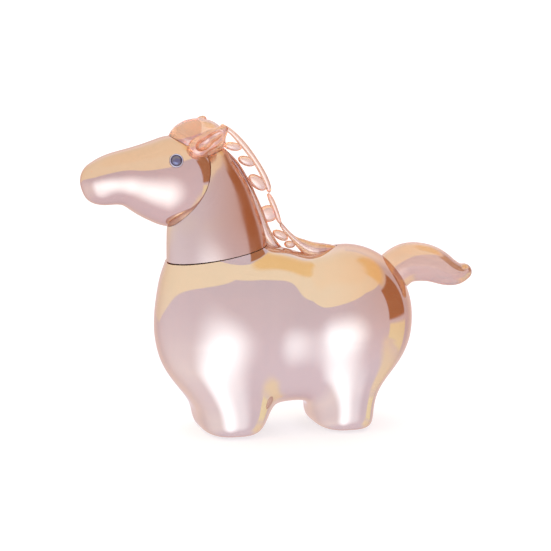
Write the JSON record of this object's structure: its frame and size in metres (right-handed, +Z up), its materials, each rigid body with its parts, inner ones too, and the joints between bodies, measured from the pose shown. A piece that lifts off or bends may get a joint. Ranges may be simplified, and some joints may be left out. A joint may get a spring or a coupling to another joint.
{
  "type": "crystal horse figurine",
  "caption": "Small chubby standing horse of mirror-coated champagne crystal with a clear openwork mane, laid-back ears and a wavy tail.",
  "frame": {"origin": "on the surface the figurine stands on, in the middle of its bounding box", "axes": "+X from the nose towards the tail, +Y to the horse's right, +Z up"},
  "size_m": [0.1049, 0.0384, 0.0815],
  "materials": {
    "coated_crystal": "polished, champagne mirror coat",
    "clear_crystal": "polished, thin champagne coat",
    "eye_stone": "cut and polished, dark",
    "eye_setting": "bright",
    "adhesive": "clear film"
  },
  "bodies": {
    "root": {"body": "coated_crystal", "neck": "coated_crystal", "head": "coated_crystal", "forelock": "clear_crystal", "ear_left": "clear_crystal", "ear_right": "clear_crystal", "mane_base": "clear_crystal", "mane_strand_upper": "clear_crystal", "mane_strand_middle": "clear_crystal", "mane_strand_lower": "clear_crystal", "mane_locks": "clear_crystal", "tail": "clear_crystal", "eye_left": "eye_stone", "eye_right": "eye_stone", "eye_cup_left": "eye_setting", "eye_cup_right": "eye_setting", "neck_bond": "adhesive", "head_bond": "adhesive", "tail_bond": "adhesive"}
  },
  "joints": []
}
